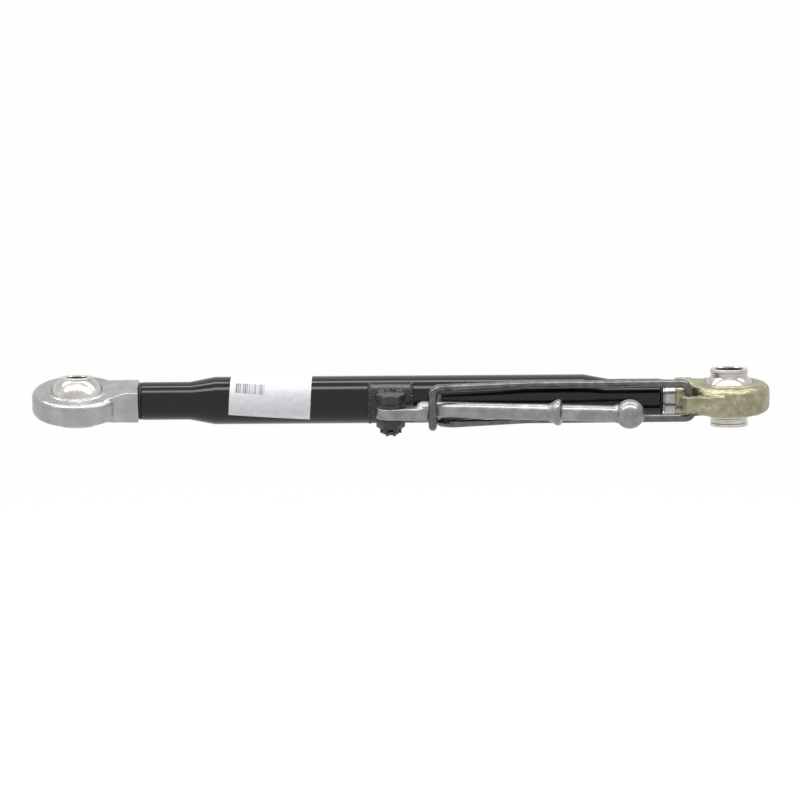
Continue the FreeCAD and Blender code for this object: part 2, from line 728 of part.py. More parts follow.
def make_castle_nut():
    """Castle nut under the lever, with three slots across its crown."""
    body = new_body("NutBody")
    outline = polygon(body, "NutOutline", "XY_Plane", hexagon("0"), NUT_TOP)
    pad(body, "NutHex", outline, "nut_height", backwards=True)
    crown = circles(body, "CrownCircle", "XY_Plane", ("0", "0"), ["crown_dia / 2"], NUT_TOP)
    pad(body, "Crown", crown, "nut_height + crown_height", backwards=True)
    bore = circles(
        body, "NutBore", "XY_Plane", ("0", "0"), ["bolt_dia / 2 + fit_gap"], NUT_TOP
    )
    pocket(body, "NutHole", bore, "nut_height + crown_height")
    slot = [
        ("-slot_width / 2", "-hex_flats"),
        ("slot_width / 2", "-hex_flats"),
        ("slot_width / 2", "hex_flats"),
        ("-slot_width / 2", "hex_flats"),
    ]
    slot_sketch = polygon(body, "SlotOutline", "XY_Plane", slot, CROWN_END)
    first = pocket(body, "CrownSlot", slot_sketch, "crown_height", backwards=True)
    ring = body.newObject("PartDesign::PolarPattern", "CrownSlots")
    ring.Originals = [first]
    ring.Axis = (slot_sketch, ["N_Axis"])
    ring.Angle = 360
    ring.Occurrences = 6
    body.Tip = ring
    cone = primitive(
        "Cone", "NutCorners", Radius1=CORNER_RADIUS,
        Radius2=CORNER_RADIUS + " + (nut_height + crown_height) * corner_slope",
        Height="nut_height + crown_height", z=CROWN_TOP
    )
    below = primitive(
        "Cylinder", "NutCrownKeep", Radius="crown_dia / 2", Height="crown_height", z=CROWN_END
    )
    part(common("Nut", body, fuse("NutEnvelope", cone, below)), "castle_nut", pivot_place())


def make_split_pin():
    """Split pin through the crown: a looped head and two legs bent round the nut."""
    radius = value("pin_dia / 2")
    level = value(PIN_LEVEL)
    reach = value("crown_dia / 2 + pin_dia")
    drop = value("bolt_tail + crown_height * pin_leg_ratio")
    head = value("pin_head")
    shank = Part.makeCylinder(radius, 2 * reach, Vector(0, -reach, level), Y_AXIS)
    eye = Part.makeTorus(head, radius, Vector(0, -reach - head, level), X_AXIS)
    leg = Part.makeCylinder(radius, drop + radius, Vector(0, reach, level), -Z_AXIS)
    bend = Part.makeSphere(radius, Vector(0, reach, level))
    pin = doc.addObject("Part::Feature", "SplitPin")
    pin.Shape = shank.fuse([eye, leg, bend]).removeSplitter()
    turned = FreeCAD.Placement(Vector(), FreeCAD.Rotation(Z_AXIS, PIN_TURN))
    part(pin, "split_pin", pivot_place().multiply(turned))


# ---------------------------------------------------------------- lever
BAR_END = "(knob_distance - sqrt(knob_radius * knob_radius - bar_dia * bar_dia / 4))"


def make_lever():
    """Forged lever: a flat eye that runs into a round bar with a spigot for the knob."""
    body = new_body("FlatBody")
    # the sides of the flat leave the round eye where they are tangent to it
    far_corner = "sqrt(flat_length * flat_length + bar_dia * bar_dia / 4)"
    leave = "(asin(eye_radius / %s) - atan(bar_dia / 2 / flat_length))" % far_corner
    near_x = "eye_radius * sin(%s)" % leave
    near_y = "eye_radius * cos(%s)" % leave
    flat = [
        (near_x, "-" + near_y),
        ("flat_length", "-bar_dia / 2"),
        ("flat_length", "bar_dia / 2"),
        (near_x, near_y),
    ]
    flat_sketch = polygon(body, "FlatOutline", "XY_Plane", flat, FLAT_BOTTOM)
    pad(body, "Flat", flat_sketch, "flat_thickness")
    round_end = circles(
        body, "EyeCircle", "XY_Plane", ("0", "0"), ["eye_radius"], FLAT_BOTTOM
    )
    pad(body, "Eye", round_end, "flat_thickness")
    top, bottom = value(FLAT_TOP), value(FLAT_BOTTOM)

    def rim(edge):
        heights = {round(v.Z, 4) for v in edge.Vertexes}
        level = heights in ({round(top, 4)}, {round(bottom, 4)})
        end = all(abs(v.X - value("flat_length")) < 1e-4 for v in edge.Vertexes)
        return level and not end

    flat_blank = rounded("FlatBlank", body, "flat_round", rim)
    bar = primitive(
        "Cylinder", "Bar", turn=ALONG_X, Radius="bar_dia / 2",
        Height=BAR_END + " - flat_length + bar_dia / 2", x="flat_length - bar_dia / 2"
    )
    nose = primitive("Sphere", "BarNose", Radius="bar_dia / 2", x="flat_length - bar_dia / 2")
    spigot = primitive(
        "Cylinder", "Spigot", turn=ALONG_X, Radius="spigot_dia / 2",
        Height="spigot_length", x=BAR_END
    )
    solid = fuse("LeverSolid", flat_blank, bar, nose, spigot)
    hole = primitive(
        "Cylinder", "LeverHole", Radius="bolt_dia / 2 + fit_gap", Height="flat_thickness * 2",
        z=FLAT_BOTTOM + " - flat_thickness / 2"
    )
    part(cut("Lever", solid, hole), "lever_arm", lever_place())


def make_knob():
    """Ball knob pushed on the bar's spigot."""
    ball = primitive("Sphere", "KnobBall", Radius="knob_radius", x="knob_distance")
    bar = primitive(
        "Cylinder", "KnobSeat", turn=ALONG_X, Radius="knob_radius", Height="knob_radius",
        x=BAR_END + " - knob_radius"
    )
    hole = primitive(
        "Cylinder", "KnobHole", turn=ALONG_X, Radius="spigot_dia / 2",
        Height="spigot_length", x=BAR_END
    )
    part(cut("Knob", ball, fuse("KnobCut", bar, hole)), "lever_knob", lever_place())


# outline of the stop collar, right end first, as shares of its length and its rise
STOP_PROFILE = [
    (1, 0), (1, 0.23), (0.92, 0.33), (0.87, 0.81), (0.78, 1), (0.62, 1), (0.45, 0.77),
    (0.22, 0.33), (0, 0.07), (0, 0)
]


def make_stop():
    """Collar on the bar that stops the wire lock."""
    body = new_body("StopBody")
    rise = "(stop_radius - bar_dia / 2)"
    outline = []
    for along, up in STOP_PROFILE:
        spot = "stop_distance + stop_length * %g" % along
        outline.append((spot, "bar_dia / 2 + %s * %g" % (rise, up)))
    revolve(body, "StopRing", polygon(body, "StopSection", "XZ_Plane", outline))
    part(body, "stop_collar", lever_place())


# ---------------------------------------------------------------- wire lock
def rounded_wire(points, radius):
    """Straight runs through the points, joined by tangent arcs of that radius."""
    edges = []
    start = points[0]
    for before, corner, after in zip(points, points[1:], points[2:]):
        back = (before - corner).normalize()
        ahead = (after - corner).normalize()
        half_turn = (math.pi - back.getAngle(ahead)) / 2
        reach = radius * math.tan(half_turn)
        inner = corner + back * reach
        outer = corner + ahead * reach
        towards = (back + ahead).normalize()
        middle = corner + towards * (radius / math.cos(half_turn) - radius)
        edges.append(Part.LineSegment(start, inner).toShape())
        edges.append(Part.Arc(inner, middle, outer).toShape())
        start = outer
    edges.append(Part.LineSegment(start, points[-1]).toShape())
    return Part.Wire(edges)


def bail_points():
    """Middle line of the wire lock, from the front hook round the U-end to the rear hook."""
    pivot = value("pivot_x")
    half = value("wire_gap / 2")
    horn = value(BALL_PITCH + " - horn_reach + hold_depth")
    skew = value("wire_skew / 2")
    channel = -value("(horn_inner + collar_dia / 2) / 2")
    slope = math.tan(math.radians(value("lever_angle")))

    def bar_at(distance):
        return -value(PIVOT_OFFSET) - distance * slope

    front = value("hook_distance")
    rear = value("hook_distance + hook_stagger")
    knee = pivot + value("knee_distance")
    leg = -value("tube_od / 2 + leg_stand")
    shoulder = value("hook_distance + leg_turn")
    front_y = bar_at(front) - value("hook_front")
    rear_y = bar_at(rear) + value("hook_back")
    drop = -value("hook_drop")
    uneven = value("wire_uneven")
    turn_out = (leg + bar_at(shoulder)) / 2 - value("leg_bulge")
    return [
        Vector(pivot + front, front_y + value("hook_return"), drop),
        Vector(pivot + front, front_y, drop),
        Vector(pivot + front, front_y, half + uneven),
        Vector(pivot + shoulder, turn_out, half),
        Vector(knee, leg, half),
        Vector(horn - skew, channel, half),
        Vector(horn + skew, channel, -half),
        Vector(knee, leg, -half),
        Vector(pivot + shoulder, turn_out, -half - uneven),
        Vector(pivot + rear, rear_y - uneven, -half - 2 * uneven),
        Vector(pivot + rear, rear_y, value("hook_rise")),
    ]


def make_bail():
    """Wire lock: bent wire that grips the bar and drops behind the horn."""
    radius = value("wire_dia / 2")
    points = bail_points()
    path = rounded_wire(points, radius + value("wire_bend"))
    start = path.Edges[0]
    heading = start.tangentAt(start.FirstParameter)
    profile = Part.Wire([Part.makeCircle(radius, points[0], heading)])
    bail = doc.addObject("Part::Feature", "Bail")
    bail.Shape = path.makePipeShell([profile], True, True)
    part(bail, "bail")


make_barrel()
make_label()
make_seals()
make_screws()
make_left_eye()
make_right_eye()
make_ball("left", FreeCAD.Placement())
make_ball("right", FreeCAD.Placement(Vector(value(BALL_PITCH), 0, 0), FreeCAD.Rotation()))
make_saddle()
make_saddle_welds()
make_head_weld()
make_bolt()
make_washer()
make_castle_nut()
make_split_pin()
make_lever()
make_knob()
make_stop()
make_bail()
doc.recompute()

# ---------------------------------------------------------------- checks and files
for thing in doc.Objects:
    if "Invalid" in thing.State or "Error" in thing.State:
        raise RuntimeError("%s did not compute: %s" % (thing.Label, thing.State))
for thing in made_parts:
    if thing.Shape.isNull() or not thing.Shape.isValid() or not thing.Shape.Solids:
        raise RuntimeError("%s has no valid solid" % thing.Label)

os.makedirs("parts", exist_ok=True)
for thing in made_parts:
    thing.Shape.exportStep("parts/%s.step" % thing.Label)
    box = thing.Shape.BoundBox
    print("%-16s %2d solid(s) %10.1f mm3  X %.1f..%.1f  Y %.1f..%.1f  Z %.1f..%.1f" % (
        thing.Label, len(thing.Shape.Solids), thing.Shape.Volume,
        box.XMin, box.XMax, box.YMin, box.YMax, box.ZMin, box.ZMax
    ))
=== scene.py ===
import math

import bmesh
import bpy
from mathutils import Matrix, Vector, noise


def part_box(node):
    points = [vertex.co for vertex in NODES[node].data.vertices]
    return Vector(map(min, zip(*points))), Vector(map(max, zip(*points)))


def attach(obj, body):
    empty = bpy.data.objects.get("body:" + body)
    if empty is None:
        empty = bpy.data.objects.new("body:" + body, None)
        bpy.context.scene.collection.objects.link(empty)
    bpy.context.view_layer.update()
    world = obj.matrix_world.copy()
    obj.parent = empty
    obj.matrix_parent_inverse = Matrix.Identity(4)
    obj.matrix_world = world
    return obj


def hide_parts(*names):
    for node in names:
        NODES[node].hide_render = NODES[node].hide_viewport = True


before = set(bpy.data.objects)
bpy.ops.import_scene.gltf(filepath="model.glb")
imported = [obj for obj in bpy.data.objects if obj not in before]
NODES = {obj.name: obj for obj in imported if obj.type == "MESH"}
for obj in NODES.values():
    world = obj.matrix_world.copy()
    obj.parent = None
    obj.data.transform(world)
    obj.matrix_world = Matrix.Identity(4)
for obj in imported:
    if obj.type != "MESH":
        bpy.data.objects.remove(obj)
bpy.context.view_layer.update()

# Tractor top link: a black threaded barrel between two forged eyes, with a folding
# turning lever and a wire lock. Lengths are in metres; MM turns millimetres into them.
MM = 0.001

# main sizes, the same as in the frame (mm)
BALL_PITCH = 580.0
BALL_RADIUS = 25.0
TUBE_RADIUS = 21.2
MOUTH_RADIUS = 16.9
BARREL_START = 57.5
BARREL_END = 518.5
LEFT_TAPER = 100.5
RIGHT_TAPER = 472.5
TAPER_LENGTH = 22.0
BORE_RADIUS = 13.55
THREAD_RADIUS = 13.5
SCREW_DEPTH = 190.0
SEAL_RADIUS = 16.5
LEFT_SHOULDER = 55.2
RIGHT_SHOULDER = BALL_PITCH - 48.4
PIVOT = (279.0, -38.0)
LEVER_ROLL = math.radians(5)
LEVER_ANGLE = math.radians(7.8)
WIRE_RADIUS = 3.8
WIRE_BEND = 6.2
TUBE_BORE = 16.7
MOUTH_EDGE = 1.2
TAPER_BLEND = 14.0
THREAD_PITCH = 3.0
THREAD_DEPTH = 1.7
NECK_LENGTH = 9.4
NECK_RADIUS = 14.25
LABEL_START = 135.0
LABEL_LENGTH = 73.0
KNOB_DISTANCE = 212.0
KNOB_RADIUS = 13.0
BAR_SEAT = 7.32
HORN_REACH = 44.0
HOLD_DEPTH = 8.5
PIN_LEVEL = -19.6
PIN_RADIUS = 1.1
PIN_BEND = 1.0
SADDLE_ENDS = (260.6, 297.4)
SADDLE_ANGLE = 98

GRAIN_SHARE = 0.35  # of the fine grain in a metal's tone, beside the clouds
FORGING_VOXEL = 0.7

PIVOT_FRAME = Matrix.Rotation(LEVER_ROLL, 4, "X") @ Matrix.Translation(
    (PIVOT[0] * MM, PIVOT[1] * MM, 0))
LEVER_FRAME = PIVOT_FRAME @ Matrix.Rotation(-LEVER_ANGLE, 4, "Z")


# ---------------------------------------------------------------- materials
def linear(code):
    """An sRGB hex colour as a linear RGBA tuple."""
    out = []
    for start in (1, 3, 5):
        c = int(code[start:start + 2], 16) / 255
        out.append(c / 12.92 if c <= 0.04045 else ((c + 0.055) / 1.055) ** 2.4)
    return (*out, 1.0)


def add(tree, kind, inputs=None, **settings):
    """Adds a node; inputs maps a socket's name or number to a value or to a socket."""
    node = tree.nodes.new(kind)
    for key, setting in settings.items():
        setattr(node, key, setting)
    for key, given in (inputs or {}).items():
        socket = node.inputs[key]
        if isinstance(given, bpy.types.NodeSocket):
            tree.links.new(given, socket)
        else:
            socket.default_value = given
    return node


def new_material(name):
    """A material with a Principled shader; returns it, its tree and the shader."""
    made = bpy.data.materials.new(name)
    made.use_nodes = True
    tree = made.node_tree
    return made, tree, tree.nodes["Principled BSDF"]


def per_size(size_mm):
    """Noise scale whose features are about that many millimetres."""
    return 1 / (size_mm * MM)


def ramp(tree, factor, stops):
    """A colour ramp over factor; stops are pairs of place and sRGB hex."""
    node = add(tree, "ShaderNodeValToRGB", {0: factor})
    strip = node.color_ramp
    while len(strip.elements) < len(stops):
        strip.elements.new(0.5)
    for element, (place, code) in zip(strip.elements, stops):
        element.position = place
        element.color = linear(code)
    return node.outputs["Color"]


def plated_steel(name, tones, rough, blotch, grain, pits, metallic=1.0):
    """Zinc-plated steel: blotchy tone, uneven gloss, and the base metal's texture."""
    made, tree, shader = new_material(name)
    place = add(tree, "ShaderNodeTexCoord").outputs["Object"]
    clouds = add(tree, "ShaderNodeTexNoise", {
        "Vector": place, "Scale": per_size(blotch), "Detail": 5, "Roughness": 0.6})
    fine = add(tree, "ShaderNodeTexNoise", {
        "Vector": place, "Scale": per_size(grain), "Detail": 3, "Roughness": 0.7})
    mixed = add(tree, "ShaderNodeMath", {
        0: fine.outputs["Fac"], 1: GRAIN_SHARE, 2: clouds.outputs["Fac"]},
        operation="MULTIPLY_ADD")
    low, middle, high = tones
    tree.links.new(
        ramp(tree, mixed.outputs[0], ((0.42, low), (0.66, middle), (0.92, high))),
        shader.inputs["Base Color"])
    gloss = add(tree, "ShaderNodeMapRange", {
        "Value": clouds.outputs["Fac"], "From Min": 0.3, "From Max": 0.7,
        "To Min": rough[0], "To Max": rough[1]})
    tree.links.new(gloss.outputs["Result"], shader.inputs["Roughness"])
    bump = add(tree, "ShaderNodeBump", {
        "Height": fine.outputs["Fac"], "Strength": pits[0], "Distance": pits[1] * MM})
    waves = add(tree, "ShaderNodeBump", {
        "Height": clouds.outputs["Fac"], "Strength": pits[2], "Distance": pits[3] * MM,
        "Normal": bump.outputs["Normal"]})
    tree.links.new(waves.outputs["Normal"], shader.inputs["Normal"])
    shader.inputs["Metallic"].default_value = metallic
    return made


def enamel(name, base, rough, peel, dirt, shine):
    """Brushed or dipped enamel paint: a hard gloss over a slightly wavy coat."""
    made, tree, shader = new_material(name)
    place = add(tree, "ShaderNodeTexCoord").outputs["Object"]
    coat = add(tree, "ShaderNodeTexNoise", {
        "Vector": place, "Scale": per_size(peel), "Detail": 2})
    dust = add(tree, "ShaderNodeTexNoise", {
        "Vector": place, "Scale": per_size(dirt), "Detail": 6, "Roughness": 0.7})
    tree.links.new(
        ramp(tree, dust.outputs["Fac"], ((0.35, base[0]), (0.75, base[1]))),
        shader.inputs["Base Color"])
    gloss = add(tree, "ShaderNodeMapRange", {
        "Value": dust.outputs["Fac"], "From Min": 0.3, "From Max": 0.75,
        "To Min": rough[0], "To Max": rough[1]})
    tree.links.new(gloss.outputs["Result"], shader.inputs["Roughness"])
    bump = add(tree, "ShaderNodeBump", {
        "Height": coat.outputs["Fac"], "Strength": 0.12, "Distance": 0.05 * MM})
    tree.links.new(bump.outputs["Normal"], shader.inputs["Normal"])
    shader.inputs["Specular IOR Level"].default_value = shine
    return made


# gloss enamel on the drawn tube: near black, mirror-like, with a faint orange peel
BARREL_PAINT = enamel("black_gloss_enamel", ("#0a0b09", "#121310"), (0.06, 0.13), 9.0, 30.0, 0.36)
# the same enamel flowed thick over plate and weld spatter, so a little duller
PIVOT_PAINT = enamel("black_enamel_over_weld", ("#161714", "#34342e"), (0.14, 0.34), 3.0, 4.0, 0.5)
# phosphated and oiled fasteners: charcoal, half matt
BOLT_BLACK = enamel("black_phosphated_steel", ("#26282a", "#3c3e3c"), (0.3, 0.45), 1.5, 5.0, 0.5)

# bright zinc over a brushed forging: cool grey with cloudy patches
LEFT_ZINC = plated_steel(
    "bright_zinc_on_forging", ("#939593", "#a1a3a2", "#b3b6b5"), (0.24, 0.36), 15.0, 0.9,
    (0.15, 0.08, 0.1, 0.3))
# yellowish passivated zinc over a scaly forging: olive patches, rough
RIGHT_ZINC = plated_steel(
    "yellow_passivated_forging", ("#7c7963", "#969279", "#b9b49a"), (0.28, 0.48), 7.0, 1.1,
    (0.5, 0.2, 0.5, 0.8))
# turned and polished balls: warm, nearly mirror bright
BALL_STEEL = plated_steel(
    "turned_bright_steel", ("#a6a39d", "#bebbb5", "#d3d0ca"), (0.16, 0.26), 12.0, 0.5,
    (0.06, 0.05, 0.05, 0.1))
# rolled thread under clear zinc
THREAD_STEEL = plated_steel(
    "zinc_on_rolled_thread", ("#8a8c8a", "#a3a5a2", "#bcbfbc"), (0.2, 0.34), 6.0, 0.6,
    (0.12, 0.06, 0.08, 0.1))
# dull zinc on the round lever
LEVER_ZINC = plated_steel(
    "dull_zinc_on_round_bar", ("#757673", "#8b8c8a", "#a4a6a3"), (0.24, 0.36), 14.0, 0.9,
    (0.14, 0.08, 0.12, 0.3))
# zinc-plated spring wire, darker than the lever
WIRE_ZINC = plated_steel(
    "zinc_on_spring_wire", ("#4c4d4b", "#5f605e", "#767774"), (0.14, 0.24), 9.0, 0.7,
    (0.1, 0.05, 0.08, 0.1))


def rubber():
    """Moulded nitrile: flat black that scatters a little at grazing light."""
    made, tree, shader = new_material("nitrile_rubber")
    place = add(tree, "ShaderNodeTexCoord").outputs["Object"]
    fine = add(tree, "ShaderNodeTexNoise", {
        "Vector": place, "Scale": per_size(0.8), "Detail": 3})
    tree.links.new(
        ramp(tree, fine.outputs["Fac"], ((0.3, "#101010"), (0.7, "#1c1c1b"))),
        shader.inputs["Base Color"])
    bump = add(tree, "ShaderNodeBump", {
        "Height": fine.outputs["Fac"], "Strength": 0.2, "Distance": 0.05 * MM})
    tree.links.new(bump.outputs["Normal"], shader.inputs["Normal"])
    shader.inputs["Roughness"].default_value = 0.62
    return made


def label_paper():
    """Coated label paper, bare but for a block of plain bars."""
    made, tree, shader = new_material("coated_label_paper")
    place = add(tree, "ShaderNodeUVMap", uv_map="wrap").outputs["UV"]
    split = add(tree, "ShaderNodeSeparateXYZ", {0: place})
    along, around = split.outputs["X"], split.outputs["Y"]

    def between(value, low, high):
        above = add(tree, "ShaderNodeMath", {0: value, 1: low}, operation="GREATER_THAN")
        below = add(tree, "ShaderNodeMath", {0: value, 1: high}, operation="LESS_THAN")
        both = add(
            tree, "ShaderNodeMath", {0: above.outputs[0], 1: below.outputs[0]},
            operation="MULTIPLY")
        return both.outputs[0]

    # bars 0.9 mm apart, of random width; coordinates are in millimetres on the label
    cell = add(tree, "ShaderNodeMath", {0: along, 1: 0.9}, operation="DIVIDE")
    number = add(tree, "ShaderNodeMath", {0: cell.outputs[0]}, operation="FLOOR")
    part = add(tree, "ShaderNodeMath", {0: cell.outputs[0]}, operation="FRACT")
    chance = add(tree, "ShaderNodeTexWhiteNoise", {
        "W": number.outputs[0]}, noise_dimensions="1D")
    bar = add(tree, "ShaderNodeMath", {
        0: part.outputs[0], 1: chance.outputs["Value"]}, operation="LESS_THAN")
    window = add(tree, "ShaderNodeMath", {
        0: between(along, 5.0, 31.0), 1: between(around, 21.0, 31.0)}, operation="MULTIPLY")
    ink = add(tree, "ShaderNodeMath", {
        0: bar.outputs[0], 1: window.outputs[0]}, operation="MULTIPLY")
    grain = add(tree, "ShaderNodeTexNoise", {
        "Vector": add(tree, "ShaderNodeTexCoord").outputs["Object"],
        "Scale": per_size(5), "Detail": 4})
    paper = ramp(tree, grain.outputs["Fac"], ((0.3, "#e2e1e8"), (0.7, "#efeef2")))
    mixed = add(tree, "ShaderNodeMix", {
        "Factor": ink.outputs[0], 6: paper, 7: linear("#6e6e72")}, data_type="RGBA")
    tree.links.new(mixed.outputs[2], shader.inputs["Base Color"])
    shader.inputs["Roughness"].default_value = 0.38
    return made


RUBBER = rubber()
LABEL_PAPER = label_paper()


# ---------------------------------------------------------------- mesh tools
def link(name, mesh):
    thing = bpy.data.objects.new(name, mesh)
    bpy.context.scene.collection.objects.link(thing)
    return thing


def smooth(mesh, degrees=35):
    """Smooth shading with edges sharper than that kept crisp."""
    mesh.polygons.foreach_set("use_smooth", [True] * len(mesh.polygons))
    mesh.set_sharp_from_angle(angle=math.radians(degrees))


def dress(thing, body, slot, material, *nodes):
    """Gives a piece its finish and its body, and hides the nodes it stands for; slot is not used.
    """
    thing.data.materials.clear()
    thing.data.materials.append(material)
    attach(thing, body)
    if nodes:
        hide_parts(*nodes)
    return thing


def arc(points, radius, steps):
    """Rounds the corner of three points (along, out) with an arc of that radius."""
    before, corner, after = (Vector(p) for p in points)
    back = (before - corner).normalized()
    ahead = (after - corner).normalized()
    half = (math.pi - back.angle(ahead)) / 2
    reach = radius * math.tan(half)
    start, end = corner + back * reach, corner + ahead * reach
    centre = corner + (back + ahead).normalized() * (radius / math.cos(half))
    first, last = start - centre, end - centre
    turn = first.angle_signed(last)
    out = []
    for step in range(steps + 1):
        spoke = first.copy()
        spoke.rotate(Matrix.Rotation(-turn * step / steps, 2))
        out.append(tuple(centre + spoke))
    return out


def rounded_outline(points, steps=5):
    """An outline whose corners are (along, out) or (along, out, radius)."""
    out = []
    count = len(points)
    for index, point in enumerate(points):
        if len(point) == 2:
            out.append(point)
            continue
        trio = (points[index - 1][:2], point[:2], points[(index + 1) % count][:2])
        out.extend(arc(trio, point[2], steps))
    return out


def lathe(name, outline, frame_matrix=Matrix(), segments=96, closed=True, crisp=35):
    """Turns an outline of (along, out) in mm about X; a point with out 0 is a pole."""
    mesh = bpy.data.meshes.new(name)
    bm = bmesh.new()
    rings = []
    for along, out in outline:
        if out < 1e-6:
            rings.append([bm.verts.new((along * MM, 0, 0))])
            continue
        ring = []
        for index in range(segments):
            angle = 2 * math.pi * index / segments
            spot = (along * MM, out * MM * math.cos(angle), out * MM * math.sin(angle))
            ring.append(bm.verts.new(spot))
        rings.append(ring)
    pairs = list(zip(rings, rings[1:]))
    if closed:
        pairs.append((rings[-1], rings[0]))
    for first, second in pairs:
        for index in range(segments):
            after = (index + 1) % segments
            corners = [
                first[index % len(first)], first[after % len(first)],
                second[after % len(second)], second[index % len(second)]]
            unique = list(dict.fromkeys(corners))
            if len(unique) > 2:
                bm.faces.new(unique)
    bmesh.ops.recalc_face_normals(bm, faces=bm.faces)
    bm.to_mesh(mesh)
    bm.free()
    mesh.transform(frame_matrix)
    smooth(mesh, crisp)
    return link(name, mesh)


def merged_copy(node, name):
    """A welded copy of a CAD node's mesh."""
    mesh = NODES[node].data.copy()
    mesh.name = name
    bm = bmesh.new()
    bm.from_mesh(mesh)
    bmesh.ops.remove_doubles(bm, verts=bm.verts, dist=1e-6)
    bm.to_mesh(mesh)
    bm.free()
    return link(name, mesh)


def apply_all(thing):
    """Turns an object's modifiers into plain mesh."""
    depsgraph = bpy.context.evaluated_depsgraph_get()
    done = bpy.data.meshes.new_from_object(thing.evaluated_get(depsgraph))
    old = thing.data
    thing.modifiers.clear()
    thing.data = done
    bpy.data.meshes.remove(old)
    return thing


def forged(node, name, centre_x, voxel, relax, roughness, scale):
    """A forging: edges rolled over and the skin slightly uneven, with a true ball race."""
    thing = merged_copy(node, name)
    cut = thing.modifiers.new("skin", "REMESH")
    cut.mode = "VOXEL"
    cut.voxel_size = voxel * MM
    soften = thing.modifiers.new("roll", "SMOOTH")
    soften.factor = 0.5
    soften.iterations = relax
    apply_all(thing)
    middle = Vector((centre_x * MM, 0, 0))
    race = (BALL_RADIUS + 0.06) * MM
    bare = (BALL_RADIUS + 2.0) * MM
    outwards = [vertex.normal.copy() for vertex in thing.data.vertices]
    for vertex, normal in zip(thing.data.vertices, outwards):
        spot = vertex.co.copy()
        clear = max(0.0, min(1.0, ((spot - middle).length - bare) / (2 * MM)))
        lump = noise.noise(spot * per_size(scale)) * roughness * MM
        lump += noise.noise(spot * per_size(scale / 3)) * roughness * MM / 3
        spot += normal * lump * clear
        away = spot - middle
        if away.length < race:
            spot = middle + away.normalized() * race
        vertex.co = spot
    smooth(thing.data, 60)
    return thing


def crisp(node, name, width):
    """A machined or pressed part: its CAD shape with small bevels on its edges."""
    thing = merged_copy(node, name)
    bm = bmesh.new()
    bm.from_mesh(thing.data)
    bmesh.ops.dissolve_limit(
        bm, angle_limit=math.radians(1), verts=bm.verts, edges=bm.edges)
    bm.to_mesh(thing.data)
    bm.free()
    edge = thing.modifiers.new("edge", "BEVEL")
    edge.width = width * MM
    edge.segments = 2
    edge.limit_method = "ANGLE"
    edge.angle_limit = math.radians(40)
    apply_all(thing)
    smooth(thing.data, 40)
    return thing


# ---------------------------------------------------------------- geometry node trees
def new_tree(name, inputs):
    """A geometry tree with named inputs (name, socket type, default) and one output."""
    tree = bpy.data.node_groups.new(name, "GeometryNodeTree")
    tree.interface.new_socket("Geometry", in_out="OUTPUT", socket_type="NodeSocketGeometry")
    for label, kind, default in inputs:
        socket = tree.interface.new_socket(label, in_out="INPUT", socket_type=kind)
        if default is not None:
            socket.default_value = default
    entry = add(tree, "NodeGroupInput")
    return tree, entry.outputs


def close_tree(tree, geometry, material):
    """Ends a tree with real geometry that carries its material."""
    real = add(tree, "GeometryNodeRealizeInstances", {0: geometry})
    painted = add(tree, "GeometryNodeSetMaterial", {0: real.outputs[0], "Material": material})
    add(tree, "NodeGroupOutput", {0: painted.outputs[0]})


def bake(tree, name, values):
    """Runs a tree on a new object and keeps the result as plain mesh."""
    thing = link(name, bpy.data.meshes.new(name))
    modifier = thing.modifiers.new("shape", "NODES")
    modifier.node_group = tree
    for item in tree.interface.items_tree:
        if item.in_out == "INPUT" and item.name in values:
            modifier[item.identifier] = values[item.name]
    thing.update_tag()
    return apply_all(thing)


def math_node(tree, operation, *given):
    node = add(tree, "ShaderNodeMath", dict(enumerate(given)), operation=operation)
    return node.outputs[0]


